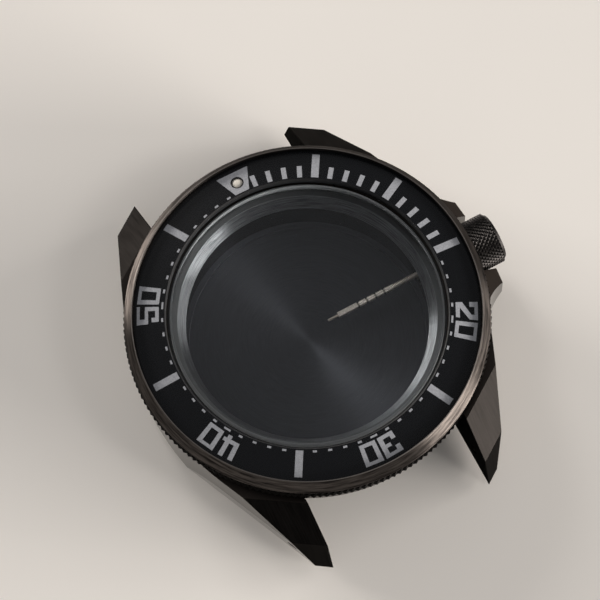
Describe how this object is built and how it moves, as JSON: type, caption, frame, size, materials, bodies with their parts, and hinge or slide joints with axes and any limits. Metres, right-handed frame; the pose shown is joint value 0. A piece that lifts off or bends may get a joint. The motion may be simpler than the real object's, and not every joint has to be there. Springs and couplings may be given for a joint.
{
  "type": "watch case",
  "caption": "Empty diver's wristwatch case with drilled lugs, click bezel, flat crystal, screw-down crown, bare winding stem and screwed case back.",
  "frame": {"origin": "centre of the case back's rest face, on the axis of the bezel and crystal", "axes": "+Z out of the crystal, +Y to 12 o'clock, +X to the crown at 3 o'clock"},
  "size_m": [0.0444, 0.0478, 0.0131],
  "materials": {
    "case_steel": "brushed steel under a dark grey coating",
    "back_steel": "circular-turned steel under a dark grey coating",
    "ring_steel": "circular-brushed gunmetal",
    "bezel_steel": "circular-brushed steel under a dark grey coating",
    "crown_steel": "knurled steel under a dark grey coating",
    "crystal_glass": "clear polished flat crystal",
    "insert_ceramic": "satin black ceramic",
    "mark_paint": "matt grey fill",
    "adhesive": "double-sided adhesive film",
    "pip_steel": "dark turned cup",
    "pip_lume": "off-white luminous pellet",
    "seal_rubber": "black nitrile",
    "seal_nylon": "black nylon",
    "spring_steel": "bright spring steel",
    "stem_steel": "turned steel, warm grey"
  },
  "bodies": {
    "case": {"mid_case": "case_steel", "crystal": "crystal_glass", "crystal_gasket": "seal_nylon", "chapter_ring": "ring_steel", "bezel_gasket": "seal_rubber", "click_spring": "spring_steel", "crown_tube": "stem_steel", "tube_gasket": "seal_rubber"},
    "back": {"case_back": "back_steel", "case_back_gasket": "seal_rubber"},
    "bezel": {"bezel_ring": "bezel_steel", "bezel_insert": "insert_ceramic", "insert_adhesive": "adhesive", "insert_marks": "mark_paint", "pip_cup": "pip_steel", "lume_pip": "pip_lume"},
    "stem_carrier": {"crown_thrust_washer": "stem_steel"},
    "stem": {"winding_stem": "stem_steel", "crown_post": "stem_steel", "crown_spring": "spring_steel"},
    "crown": {"crown_head": "crown_steel", "crown_head_gasket": "seal_rubber"}
  },
  "joints": [
    {"name": "bezel_turn", "type": "hinge", "parent": "case", "child": "bezel", "pos_m": [0, 0, 0.0115], "axis": [0, 0, 1], "continuous": true},
    {"name": "back_off", "type": "slide", "parent": "case", "child": "back", "axis": [0, 0, -1], "range_m": [0, 0.015]},
    {"name": "stem_pull", "type": "slide", "parent": "case", "child": "stem_carrier", "axis": [1, 0, 0], "range_m": [0, 0.0012]},
    {"name": "crown_turn", "type": "hinge", "parent": "stem_carrier", "child": "stem", "pos_m": [0.0195, 0, 0.0056], "axis": [1, 0, 0], "range_deg": [0, 1080]},
    {"name": "crown_rise", "type": "slide", "parent": "stem", "child": "crown", "axis": [1, 0, 0], "range_m": [0, 0.00105]}
  ],
  "couplings": [
    {"joint": "crown_turn", "follows": "crown_rise", "rad_per_m": 17952}
  ]
}
